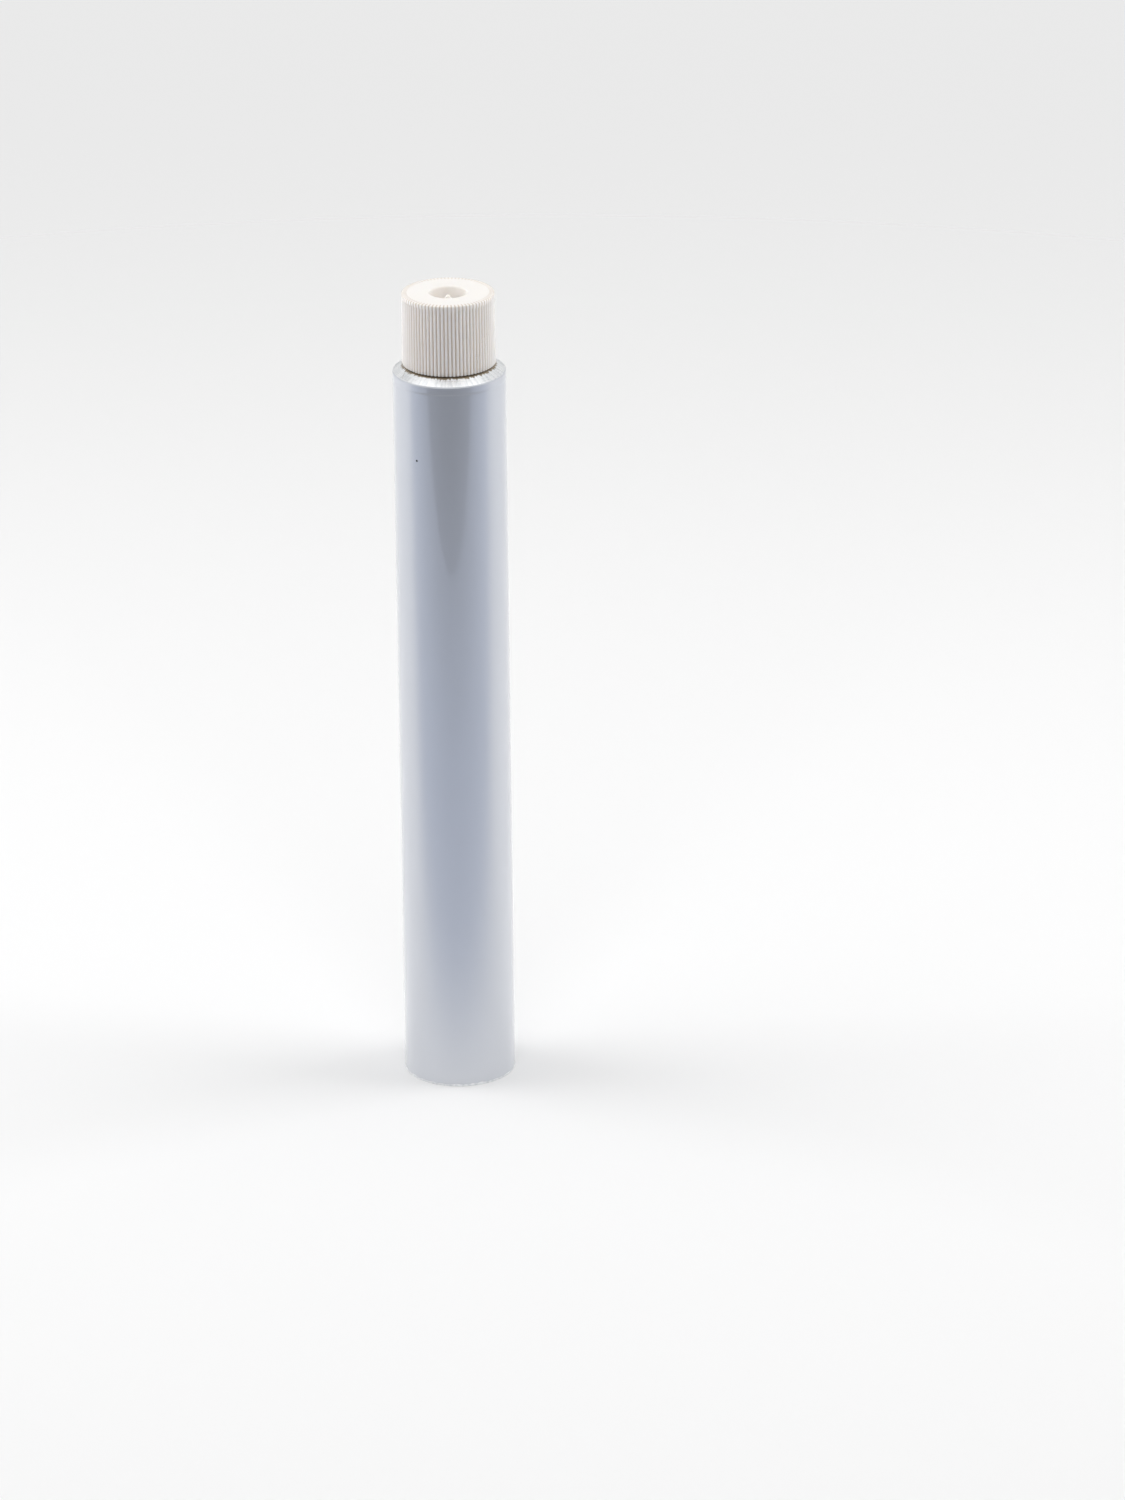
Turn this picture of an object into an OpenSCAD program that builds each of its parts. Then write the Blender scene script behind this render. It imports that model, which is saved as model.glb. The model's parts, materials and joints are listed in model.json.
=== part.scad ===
/* [Body] */
// Outside diameter of the body
body_d = 30; // [26:0.5:40]
// Height of the body, from its open end to the corner below the shoulder
body_h = 200; // [120:1:240]
// Thickness of the body's wall
wall_t = 0.14; // [0.12:0.01:0.3]
// Radius of the corner between the body and the shoulder
rim_r = 0.7; // [0.4:0.1:1.2]

/* [Shoulder] */
// Angle of the shoulder above level, in degrees
shoulder_slope = 32; // [24:1:38]
// Thickness of the shoulder
shoulder_t = 0.5; // [0.3:0.05:0.8]
// Radius of the fillet between the shoulder and the neck
root_r = 0.5; // [0.2:0.1:0.8]

/* [Neck] */
// Outside diameter of the neck, over its thread
neck_d = 9; // [8:0.1:9.6]
// Thickness of the neck's wall
neck_t = 0.8; // [0.5:0.05:1.1]
// Thickness of the membrane that closes the neck
membrane_t = 0.15; // [0.1:0.01:0.3]
// Width of the bevel round the neck's top
neck_bevel = 0.3; // [0.1:0.05:0.45]

/* [End seal] */
// Height of the band of sealing compound inside the open end
seal_h = 4.5; // [2:0.5:10]
// Thickness of the band
seal_t = 0.1; // [0.06:0.01:0.14]
// Height of the bare strip between the cut edge and the band
seal_inset = 0.7; // [0.3:0.1:2]
// Clearance between the band and the body's wall
seal_gap = 0.02; // [0.01:0.01:0.05]

/* [Cap] */
// Outside diameter of the cap at its foot, over the ribs
cap_d = 24.7; // [20:0.1:25]
// Height of the cap
cap_h = 19.3; // [17:0.1:24]
// Draft of the cap's side, in degrees
cap_draft = 0.45; // [0.1:0.05:1]
// Thickness of the skirt behind the grooves
skirt_t = 1.1; // [0.8:0.1:1.8]
// Thickness of the cap's top
top_t = 1.5; // [1:0.1:2.5]
// Radius of the cap's top edge
edge_r = 0.35; // [0.2:0.05:0.6]
// Clearance between the cap's foot and the shoulder, measured straight down
foot_gap = 0.5; // [0.2:0.1:1]

/* [Ribs] */
// Number of grooves between the ribs
rib_count = 76; // [40:2:90]
// Depth of each groove
groove_depth = 0.26; // [0.15:0.01:0.3]
// Radius of each groove's section
groove_r = 0.3; // [0.2:0.02:0.34]
// Height of the smooth band above the grooves
band_h = 0.75; // [0.6:0.05:2]

/* [Hub] */
// Outside diameter of the hub in the middle of the cap
hub_d = 11.8; // [11.6:0.1:14]
// Diameter of the recess in the cap's top
recess_d = 9.8; // [8:0.1:10.6]
// Depth of the recess
recess_depth = 7; // [5:0.5:9]
// Radius of the lip round the recess
lip_r = 0.45; // [0.2:0.05:0.5]
// Thickness of the recess's floor
floor_t = 1.2; // [0.8:0.1:2]
// Clearance all round between the neck and its socket
thread_gap = 0.1; // [0.05:0.05:0.2]
// Clearance between the hub's foot and the neck's root
hub_gap = 0.6; // [0.3:0.1:1.5]

/* [Spike] */
// Width of the piercing spike
spike_w = 4; // [2:0.5:6]
// Thickness of the spike
spike_t = 1.6; // [1:0.1:2.4]
// Height of the spike's pointed part
point_h = 2; // [1:0.25:3]
// Width of the spike's blunt tip
tip_w = 0.7; // [0.4:0.1:1.5]
// Depth of the tip below the cap's top
tip_drop = 1; // [0.5:0.25:1.5]

/* [Hidden] */
ring_fn = 96;
groove_fn = 16;
arc_steps = 6;

body_r = body_d / 2;
bore_r = body_r - wall_t;
neck_r = neck_d / 2;
passage_r = neck_r - neck_t;
// The shoulder's thickness, measured straight down
shoulder_drop = shoulder_t / cos(shoulder_slope);
bore_top_z = outer_z(bore_r) - shoulder_drop;
passage_foot_z = outer_z(passage_r) - shoulder_drop;
neck_root_z = outer_z(neck_r);
// The fillet at the neck's root climbs the neck by this much
fillet_rise = root_r * tan((90 - shoulder_slope) / 2);

cap_foot_r = cap_d / 2;
cap_foot_z = outer_z(cap_foot_r) + foot_gap;
cap_top_z = cap_foot_z + cap_h;
cap_top_r = cap_foot_r - cap_h * tan(cap_draft);
under_z = cap_top_z - top_t;
skirt_in = groove_depth + skirt_t;
// The skirt's foot slopes with the shoulder, up to this radius inside
skirt_foot_r = cap_foot_r - skirt_in;
under_r = cap_foot_r - (cap_h - top_t) * tan(cap_draft) - skirt_in;

hub_r = hub_d / 2;
socket_r = neck_r + thread_gap;
recess_r = recess_d / 2;
recess_z = cap_top_z - recess_depth;
// The neck's top bears on the underside of the recess's floor
seat_z = recess_z - floor_t;
hub_foot_z = neck_root_z + fillet_rise + hub_gap;

groove_axis_r = cap_foot_r + groove_r - groove_depth;
groove_len = (cap_h - band_h) / cos(cap_draft);
// The cutters start below the foot, so that the grooves run out through it
groove_start = groove_r;

spike_tip_z = cap_top_z - tip_drop;
spike_root_z = recess_z - floor_t / 2;

// Height of the shoulder's outside at radius r
function outer_z(r) = body_h + (body_r - r) * tan(shoulder_slope);

// The least turn from angle a to angle b
function turn(a, b) = b - a > 180 ? b - a - 360 : b - a < -180 ? b - a + 360 : b - a;

// Points of an arc of radius r that rounds the corner p between the points a and b
function corner(a, p, b, r) =
    let (u = (a - p) / norm(a - p))
    let (v = (b - p) / norm(b - p))
    let (half = acos(u * v) / 2)
    let (c = p + (u + v) / norm(u + v) * r / sin(half))
    let (s = p + u * r / tan(half) - c)
    let (e = p + v * r / tan(half) - c)
    let (start = atan2(s.y, s.x))
    let (sweep = turn(start, atan2(e.y, e.x)))
    [for (i = [0 : arc_steps]) c + r * [cos(start + sweep * i / arc_steps), sin(start + sweep * i / arc_steps)]];

// Half section of the tube: wall, rounded rim, shoulder, neck and membrane in one
module tube_section() {
    foot = [body_r, 0];
    rim = [body_r, body_h];
    root = [neck_r, neck_root_z];
    top = [neck_r, seat_z];
    polygon(concat(
        [foot],
        corner(foot, rim, root, rim_r),
        corner(rim, root, top, root_r),
        [
            [neck_r, seat_z - neck_bevel],
            [neck_r - neck_bevel, seat_z],
            [0, seat_z],
            [0, seat_z - membrane_t],
            [passage_r, seat_z - membrane_t],
            [passage_r, passage_foot_z],
            [bore_r, bore_top_z],
            [bore_r, 0]
        ]
    ));
}

// Half section of the cap: skirt, top, recess, socket and hub in one
module cap_section() {
    foot = [cap_foot_r, cap_foot_z];
    edge = [cap_top_r, cap_top_z];
    lip = [recess_r, cap_top_z];
    recess = [recess_r, recess_z];
    polygon(concat(
        [foot],
        corner(foot, edge, lip, edge_r),
        corner(edge, lip, recess, lip_r),
        [
            recess,
            [0, recess_z],
            [0, seat_z],
            [socket_r, seat_z],
            [socket_r, hub_foot_z],
            [hub_r, hub_foot_z],
            [hub_r, under_z],
            [under_r, under_z],
            [skirt_foot_r, outer_z(skirt_foot_r) + foot_gap]
        ]
    ));
}

// Grooves that leave the ribs between them, each leaning with the cap's draft
module grooves() {
    for (i = [0 : rib_count - 1])
        rotate([0, 0, i * 360 / rib_count])
            translate([groove_axis_r, 0, cap_foot_z])
                rotate([0, -cap_draft, 0])
                    translate([0, 0, -groove_start])
                        cylinder(h = groove_start + groove_len, r = groove_r, $fn = groove_fn);
}

// Flat blade with a blunt point that stands in the recess
module spike() {
    point_z = spike_tip_z - point_h;
    translate([0, spike_t / 2, 0])
        rotate([90, 0, 0])
            linear_extrude(height = spike_t)
                polygon([
                    [-spike_w / 2, spike_root_z],
                    [spike_w / 2, spike_root_z],
                    [spike_w / 2, point_z],
                    [tip_w / 2, spike_tip_z],
                    [-tip_w / 2, spike_tip_z],
                    [-spike_w / 2, point_z]
                ]);
}

// One-piece aluminium tube, open below
module tube() {
    color([0.86, 0.87, 0.91])
        rotate_extrude($fn = ring_fn)
            tube_section();
}

// Thin band of sealing compound inside the open end
module end_seal() {
    seal_r = bore_r - seal_gap;
    color([0.55, 0.49, 0.27])
        rotate_extrude($fn = ring_fn)
            translate([seal_r - seal_t, seal_inset])
                square([seal_t, seal_h]);
}

// One-piece moulded screw cap
module cap() {
    color([0.93, 0.92, 0.90]) {
        difference() {
            rotate_extrude($fn = ring_fn)
                cap_section();
            grooves();
        }
        spike();
    }
}

tube();
end_seal();
cap();
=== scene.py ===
"""Dresses a plain collapsible ointment tube: enamelled aluminium, bare shoulder, ribbed screw cap."""

import json
import logging
import math
from dataclasses import dataclass
from enum import Enum
from typing import Callable

import bmesh
import bpy
from mathutils import Matrix, Vector, noise


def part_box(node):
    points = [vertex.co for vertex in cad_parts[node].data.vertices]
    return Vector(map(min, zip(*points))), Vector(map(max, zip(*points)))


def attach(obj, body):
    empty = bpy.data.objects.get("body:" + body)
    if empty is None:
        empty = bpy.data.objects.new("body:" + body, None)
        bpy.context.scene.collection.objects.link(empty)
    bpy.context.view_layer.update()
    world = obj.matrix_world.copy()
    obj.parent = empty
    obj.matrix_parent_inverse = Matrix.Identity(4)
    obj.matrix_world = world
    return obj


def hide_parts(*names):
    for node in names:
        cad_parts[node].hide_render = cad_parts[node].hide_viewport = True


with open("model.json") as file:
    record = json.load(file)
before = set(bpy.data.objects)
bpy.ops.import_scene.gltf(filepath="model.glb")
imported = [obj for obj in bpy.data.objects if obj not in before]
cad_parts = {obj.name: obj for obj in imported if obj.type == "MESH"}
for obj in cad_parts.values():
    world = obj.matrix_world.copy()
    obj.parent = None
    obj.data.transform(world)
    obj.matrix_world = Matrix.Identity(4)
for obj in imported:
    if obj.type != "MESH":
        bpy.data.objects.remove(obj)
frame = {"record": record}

LOG = logging.getLogger("ointment_tube")
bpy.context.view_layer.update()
MM = 0.001
TURN = 2 * math.pi

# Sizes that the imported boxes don't give, in millimetres, and the shoulder's angle
SHOULDER_SLOPE = math.radians(32)
RIM_Z = 200.0
NECK_R = 4.5
THREAD_FOOT = 6.1
THREAD_HEAD = 0.35
SEAL_T = 0.1

Place = Callable[[float], tuple[float, float]]
Value = float | tuple[float, ...] | bpy.types.NodeSocket


def mount_radius(name: str) -> float:
    """Reads a round mount's radius.

    Args:
        name: The mount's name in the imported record.

    Returns:
        The radius in millimetres.
    """
    for mount in frame["record"]["mounts"]:
        if mount["name"] == name:
            return float(mount["dims"]["r_mm"])
    raise ValueError(f"no mount named {name}")


def mix(low: float, high: float, share: float) -> float:
    """Returns the value a share of the way from low to high."""
    return low + (high - low) * share


def ease(share: float) -> float:
    """Returns a share, held from 0 to 1, with a smooth start and end."""
    held = min(max(share, 0.0), 1.0)
    return held * held * (3 - 2 * held)


def ripple(angle: float, height: float, per_turn: float, per_mm: float, seed: float) -> float:
    """Gives smooth noise over a round wall.

    Args:
        angle: Angle round the wall, in radians.
        height: Height on the wall, in millimetres.
        per_turn: How fast the noise changes round the wall.
        per_mm: How fast it changes with height.
        seed: Sets one noise apart from another.

    Returns:
        A value from about -1 to 1 that joins up after a full turn.
    """
    point = (per_turn * math.cos(angle), per_turn * math.sin(angle) + seed, per_mm * height + seed)
    return noise.noise(Vector(point))


def arc(corner: tuple[float, float], before: tuple[float, float], after: tuple[float, float],
        radius: float, steps: int) -> list[tuple[float, float]]:
    """Rounds a corner of a half section.

    Args:
        corner: Radius and height of the sharp corner.
        before: A point of the section ahead of it.
        after: A point of the section past it.
        radius: Radius of the rounding.
        steps: Number of chords in the arc.

    Returns:
        The arc's points, in order.
    """
    tip = Vector(corner)
    ahead = (Vector(before) - tip).normalized()
    past = (Vector(after) - tip).normalized()
    half = ahead.angle(past) / 2
    centre = tip + (ahead + past).normalized() * radius / math.sin(half)
    start = tip + ahead * radius / math.tan(half) - centre
    sweep = math.pi - 2 * half
    side = 1 if start.x * past.y - start.y * past.x > 0 else -1
    points = []
    for i in range(steps + 1):
        point = centre + Matrix.Rotation(side * sweep * i / steps, 2) @ start
        points.append((point.x, point.y))
    return points


@dataclass
class Ring:
    """One level of a turned skin.

    Attributes:
        count: Number of points round the ring, or 1 for a point on the axis.
        place: Gives radius and height, in millimetres, at an angle.
        zone: Index of the finish on the strip from this ring to the next.
    """

    count: int
    place: Place
    zone: int = 0


def level(count: int, radius: float, height: float, zone: int = 0) -> Ring:
    """Returns a plain round ring."""
    return Ring(count, lambda angle: (radius, height), zone)


class TurnedSkin:
    """A closed skin of rings round the Z axis, joined in order and back to the first."""

    SHARP = math.radians(38)

    def __init__(self, rings: list[Ring]) -> None:
        """Takes the rings in order round the half section."""
        self.rings = rings
        self.mesh = bmesh.new()

    def points(self, ring: Ring) -> list[bmesh.types.BMVert]:
        """Adds a ring's points.

        Args:
            ring: The ring to place.

        Returns:
            Its points in the mesh, in order.
        """
        made = []
        for i in range(ring.count):
            angle = TURN * i / ring.count
            radius, height = ring.place(angle)
            if ring.count == 1:
                radius = 0.0
            place = (radius * math.cos(angle) * MM, radius * math.sin(angle) * MM, height * MM)
            made.append(self.mesh.verts.new(place))
        return made

    def face(self, corners: list[bmesh.types.BMVert], zone: int) -> None:
        """Adds one face with its finish.

        Args:
            corners: Its points, in order.
            zone: Index of its finish.
        """
        made = self.mesh.faces.new(corners)
        made.material_index = zone
        made.smooth = True

    def stitch(self, low: list[bmesh.types.BMVert], high: list[bmesh.types.BMVert], zone: int) -> None:
        """Joins two rings, where one count is a multiple of the other.

        Args:
            low: Points of the first ring.
            high: Points of the ring after it.
            zone: Index of the strip's finish.
        """
        few, many = (low, high) if len(low) <= len(high) else (high, low)
        share = len(many) // len(few)
        turned = few is high
        for j in range(len(few)):
            near, far = few[j], few[(j + 1) % len(few)]
            run = [many[(j * share + i) % len(many)] for i in range(share + 1)]
            if len(few) == 1:
                pieces = [[near, b, a] for a, b in zip(run, run[1:])]
            elif share == 1:
                pieces = [[near, far, run[1], run[0]]]
            else:
                middle = share // 2
                pieces = [[near, b, a] for a, b in zip(run[:middle], run[1:middle + 1])]
                pieces.append([near, far, run[middle]])
                pieces += [[far, b, a] for a, b in zip(run[middle:], run[middle + 1:])]
            for corners in pieces:
                self.face(corners[::-1] if turned else corners, zone)

    def build(self, name: str) -> bpy.types.Object:
        """Makes the object.

        Args:
            name: The piece's name.

        Returns:
            A closed mesh object, linked to the scene.
        """
        made = [self.points(ring) for ring in self.rings]
        for i, ring in enumerate(self.rings):
            low, high = made[i], made[(i + 1) % len(made)]
            if len(low) > 1 or len(high) > 1:
                self.stitch(low, high, ring.zone)
        bmesh.ops.recalc_face_normals(self.mesh, faces=self.mesh.faces)
        data = bpy.data.meshes.new(name)
        self.mesh.to_mesh(data)
        self.mesh.free()
        data.set_sharp_from_angle(angle=self.SHARP)
        piece = bpy.data.objects.new(name, data)
        bpy.context.scene.collection.objects.link(piece)
        return piece


class Graph:
    """Adds and joins the nodes of one tree."""

    def __init__(self, tree: bpy.types.NodeTree) -> None:
        """Takes the tree to fill."""
        self.tree = tree

    def add(self, kind: str, inputs: dict[str | int, Value] | None = None,
            **settings: object) -> bpy.types.Node:
        """Adds a node.

        Args:
            kind: The node's type name, after ShaderNode.
            inputs: Values or sockets to feed, by the input's name or number.
            **settings: Properties of the node.

        Returns:
            The new node.
        """
        node = self.tree.nodes.new("ShaderNode" + kind)
        for name, value in settings.items():
            setattr(node, name, value)
        for key, value in (inputs or {}).items():
            self.feed(node.inputs[key], value)
        return node

    def feed(self, socket: bpy.types.NodeSocket, value: Value) -> None:
        """Links a socket, or sets its value.

        Args:
            socket: The input.
            value: A value, or the output to link.
        """
        if isinstance(value, bpy.types.NodeSocket):
            self.tree.links.new(value, socket)
        else:
            socket.default_value = value

    def maths(self, operation: str, a: Value, b: Value = 0.0, c: Value = 0.0) -> bpy.types.NodeSocket:
        """Returns the result of one sum."""
        return self.add("Math", {0: a, 1: b, 2: c}, operation=operation).outputs[0]

    def vector(self, operation: str, a: Value, b: Value) -> bpy.types.NodeSocket:
        """Returns the result of one sum with vectors."""
        return self.add("VectorMath", {0: a, 1: b}, operation=operation).outputs["Vector"]

    def spread(self, value: Value, low: float, high: float,
               to_low: float, to_high: float) -> bpy.types.NodeSocket:
        """Returns a value mapped from one range to another, smooth and held at the ends."""
        inputs = {"Value": value, "From Min": low, "From Max": high, "To Min": to_low, "To Max": to_high}
        return self.add("MapRange", inputs, interpolation_type="SMOOTHSTEP").outputs["Result"]

    def blend(self, share: Value, a: tuple[float, ...] | bpy.types.NodeSocket,
              b: tuple[float, ...] | bpy.types.NodeSocket) -> bpy.types.NodeSocket:
        """Mixes two colours.

        Args:
            share: The share, from 0 to 1.
            a: Colour at 0.
            b: Colour at 1.

        Returns:
            The mixed colour.
        """
        node = self.add("Mix", {"Factor": share}, data_type="RGBA")
        self.feed(node.inputs["A"], a)
        self.feed(node.inputs["B"], b)
        return node.outputs["Result"]


class Effect:
    """A shader node group that several finishes share, built once."""

    NAME = "effect"
    INPUTS: dict[str, str] = {}
    OUTPUTS: dict[str, str] = {}

    def tree(self) -> bpy.types.NodeTree:
        """Builds the group when it is first asked for.

        Returns:
            The tree that every material shares.
        """
        known = bpy.data.node_groups.get(self.NAME)
        if known:
            return known
        tree = bpy.data.node_groups.new(self.NAME, "ShaderNodeTree")
        for way, sockets in (("INPUT", self.INPUTS), ("OUTPUT", self.OUTPUTS)):
            for name, kind in sockets.items():
                tree.interface.new_socket(name, in_out=way, socket_type="NodeSocket" + kind)
        graph = Graph(tree)
        source = tree.nodes.new("NodeGroupInput").outputs
        sink = tree.nodes.new("NodeGroupOutput").inputs
        for name, value in self.fill(graph, source).items():
            graph.feed(sink[name], value)
        return tree

    def fill(self, graph: Graph, source: bpy.types.NodeOutputs) -> dict[str, bpy.types.NodeSocket]:
        """Adds the group's nodes and returns what each output is fed with."""
        raise NotImplementedError

    def place(self, graph: Graph, inputs: dict[str, Value]) -> bpy.types.NodeOutputs:
        """Places the group in a material.

        Args:
            graph: The material's graph.
            inputs: Values or sockets for the group's inputs.

        Returns:
            The placed group's outputs.
        """
        node = graph.tree.nodes.new("ShaderNodeGroup")
        node.node_tree = self.tree()
        for name, value in inputs.items():
            graph.feed(node.inputs[name], value)
        return node.outputs


class RoundPlace(Effect):
    """Turns a point into angle, radius and height about the tube's axis."""

    NAME = "round_place"
    INPUTS = {"Point": "Vector"}
    OUTPUTS = {"Turn": "Float", "Radius": "Float", "Height": "Float"}

    def fill(self, graph: Graph, source: bpy.types.NodeOutputs) -> dict[str, bpy.types.NodeSocket]:
        """Works out turn in radians, and radius and height in millimetres.

        Args:
            graph: The group's graph.
            source: The group's inputs.

        Returns:
            What each output is fed with.
        """
        scaled = graph.vector("MULTIPLY", source["Point"], (1 / MM, 1 / MM, 1 / MM))
        parts = graph.add("SeparateXYZ", {0: scaled}).outputs
        flat = graph.maths("MULTIPLY_ADD", parts[0], parts[0], graph.maths("MULTIPLY", parts[1], parts[1]))
        return {
            "Turn": graph.maths("ARCTAN2", parts[1], parts[0]),
            "Radius": graph.maths("SQRT", flat),
            "Height": parts[2],
        }


class Grain(Effect):
    """Fine unevenness of a moulded, lacquered or rolled skin."""

    NAME = "grain"
    INPUTS = {"Point": "Vector", "Size": "Float", "Depth": "Float", "Stretch": "Vector"}
    OUTPUTS = {"Height": "Float", "Patch": "Float"}

    def fill(self, graph: Graph, source: bpy.types.NodeOutputs) -> dict[str, bpy.types.NodeSocket]:
        """Makes a fine height in millimetres, and a patch, the same noise much larger, from 0 to 1.

        Args:
            graph: The group's graph.
            source: The group's inputs.

        Returns:
            What each output is fed with.
        """
        pulled = graph.vector("MULTIPLY", source["Point"], source["Stretch"])
        fineness = graph.maths("DIVIDE", 1 / MM, source["Size"])
        fine = graph.add("TexNoise", {"Vector": pulled, "Scale": fineness, "Detail": 3.0, "Roughness": 0.55})
        broad = graph.maths("MULTIPLY", fineness, 0.04)
        patch = graph.add("TexNoise", {"Vector": pulled, "Scale": broad, "Detail": 2.0, "Roughness": 0.5})
        centred = graph.maths("SUBTRACT", fine.outputs[0], 0.5)
        return {
            "Height": graph.maths("MULTIPLY", centred, source["Depth"]),
            "Patch": patch.outputs[0],
        }


class Dust(Effect):
    """A few small specks scattered over a surface."""

    NAME = "dust"
    INPUTS = {"Point": "Vector", "Spacing": "Float", "Size": "Float"}
    OUTPUTS = {"Speck": "Float"}

    def fill(self, graph: Graph, source: bpy.types.NodeOutputs) -> dict[str, bpy.types.NodeSocket]:
        """Marks the middle of a few cells; spacing and size are in millimetres.

        Args:
            graph: The group's graph.
            source: The group's inputs.

        Returns:
            What each output is fed with.
        """
        cells = graph.maths("DIVIDE", 1 / MM, source["Spacing"])
        cell = graph.add("TexVoronoi", {"Vector": source["Point"], "Scale": cells, "Randomness": 1.0})
        reach = graph.maths("DIVIDE", source["Size"], source["Spacing"])
        near = graph.maths("LESS_THAN", cell.outputs["Distance"], reach)
        shade = graph.add("SeparateColor", {0: cell.outputs["Color"]}).outputs[0]
        chosen = graph.maths("GREATER_THAN", shade, 0.72)
        return {"Speck": graph.maths("MULTIPLY", near, chosen)}


class Finish:
    """A material built from nodes."""

    def material(self) -> bpy.types.Material:
        """Builds the material.

        Returns:
            The material, ready to assign.
        """
        made = bpy.data.materials.new(type(self).__name__)
        made.use_nodes = True
        made.node_tree.nodes.clear()
        graph = Graph(made.node_tree)
        point = graph.add("TexCoord").outputs["Object"]
        shader = graph.add("BsdfPrincipled")
        self.paint(graph, shader, point)
        graph.add("OutputMaterial", {"Surface": shader.outputs[0]})
        return made

    def paint(self, graph: Graph, shader: bpy.types.Node, point: bpy.types.NodeSocket) -> None:
        """Feeds the shader, from the point in the piece's own frame."""
        raise NotImplementedError

    @staticmethod
    def emboss(graph: Graph, shader: bpy.types.Node, height: bpy.types.NodeSocket) -> None:
        """Gives the shader relief, from a height in millimetres."""
        bump = graph.add("Bump", {"Strength": 1.0, "Distance": MM, "Height": height})
        graph.feed(shader.inputs["Normal"], bump.outputs[0])


@dataclass(frozen=True)
class Enamel(Finish):
    """Glossy white enamel, with a cool cast, rolled onto the body.

    Attributes:
        pale: Colour where the coat is thick.
        thin: Colour where it is thin and the metal cools it.
        speck_at: Place of the one dark speck, in millimetres.
        speck_r: Radius of the speck, in millimetres.
        speck_dark: The speck's colour.
        dust_share: How much of that colour a speck of dust takes.
        smooth: Least roughness of the coloured coat.
        rough: Greatest roughness.
        speck_rough: Roughness of the speck.
        metal: Share of the metal that shows through.
        clear_rough: Roughness of the clear coat on top.
        clear_ior: Its refractive index.
    """

    pale: tuple[float, ...] = (0.620, 0.638, 0.680, 1.0)
    thin: tuple[float, ...] = (0.585, 0.607, 0.658, 1.0)
    speck_at: tuple[float, float, float] = (-8.7, -12.2, 179.0)
    speck_r: float = 0.34
    speck_dark: tuple[float, ...] = (0.012, 0.012, 0.013, 1.0)
    dust_share: float = 0.35
    smooth: float = 0.285
    rough: float = 0.34
    speck_rough: float = 0.6
    metal: float = 0.4
    clear_rough: float = 0.03
    clear_ior: float = 1.7

    def paint(self, graph: Graph, shader: bpy.types.Node, point: bpy.types.NodeSocket) -> None:
        """Feeds the shader with the coat, its orange peel, dust and the dark speck.

        Args:
            graph: The material's graph.
            shader: The shader to feed.
            point: The point in the piece's own frame, in metres.
        """
        peel = Grain().place(graph, {"Point": point, "Size": 1.6, "Depth": 0.0022, "Stretch": (1, 1, 0.6)})
        drawn = Grain().place(graph, {"Point": point, "Size": 5.0, "Depth": 0.006, "Stretch": (1, 1, 0.12)})
        dust = Dust().place(graph, {"Point": point, "Spacing": 9.0, "Size": 0.07})
        coat = graph.blend(graph.spread(drawn["Patch"], 0.3, 0.7, 0.0, 1.0), self.thin, self.pale)
        speck_at = tuple(c * MM for c in self.speck_at)
        away = graph.add("VectorMath", {0: point, 1: speck_at}, operation="DISTANCE")
        speck = graph.spread(away.outputs["Value"], self.speck_r * MM * 0.8, self.speck_r * MM, 1.0, 0.0)
        marks = graph.maths("MAXIMUM", speck, graph.maths("MULTIPLY", dust["Speck"], self.dust_share))
        graph.feed(shader.inputs["Base Color"], graph.blend(marks, coat, self.speck_dark))
        gloss = graph.spread(peel["Patch"], 0.25, 0.75, self.smooth, self.rough)
        dulled = graph.maths("MULTIPLY", marks, self.speck_rough)
        graph.feed(shader.inputs["Roughness"], graph.maths("MAXIMUM", gloss, dulled))
        shader.inputs["Metallic"].default_value = self.metal
        shader.inputs["Coat Weight"].default_value = 1.0
        shader.inputs["Coat Roughness"].default_value = self.clear_rough
        shader.inputs["Coat IOR"].default_value = self.clear_ior
        self.emboss(graph, shader, graph.maths("ADD", peel["Height"], drawn["Height"]))


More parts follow.
